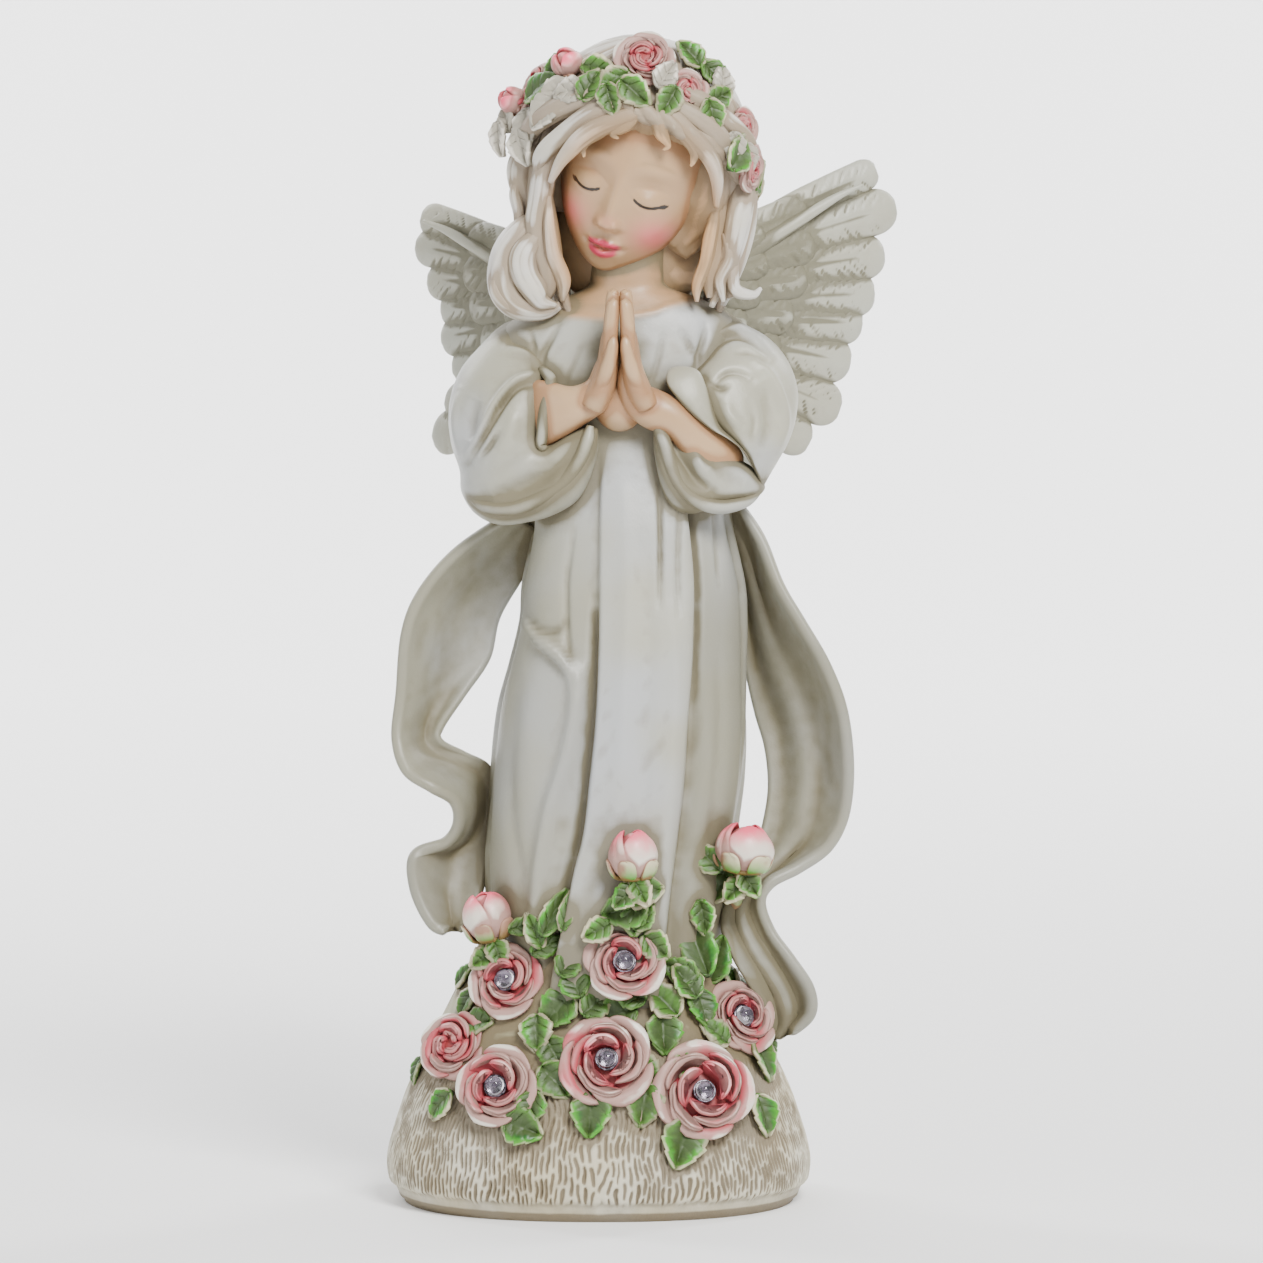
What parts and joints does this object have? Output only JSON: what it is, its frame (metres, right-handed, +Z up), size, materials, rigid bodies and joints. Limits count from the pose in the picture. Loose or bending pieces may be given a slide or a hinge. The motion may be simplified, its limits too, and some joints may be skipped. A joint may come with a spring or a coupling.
{
  "type": "cemetery angel statue",
  "caption": "Painted cast-resin figure of a praying angel with wings, rose wreath and flowing ribbons, standing on a mound of roses that hold clear lenses",
  "frame": {"origin": "the middle of the flat underside of the mound", "axes": "+X to the viewer's right, +Y away from the viewer, +Z up; the statue faces -Y"},
  "size_m": [0.1379, 0.1111, 0.3103],
  "materials": {
    "painted_resin": "cast resin, hand painted off-white with a tan wash in the recesses, matte",
    "clear_lens": "clear, polished"
  },
  "bodies": {
    "root": {"angel": "painted_resin", "upper_left_rose_lens": "clear_lens", "upper_middle_rose_lens": "clear_lens", "right_rose_lens": "clear_lens", "lower_left_rose_lens": "clear_lens", "lower_middle_rose_lens": "clear_lens", "lower_right_rose_lens": "clear_lens"}
  },
  "joints": []
}
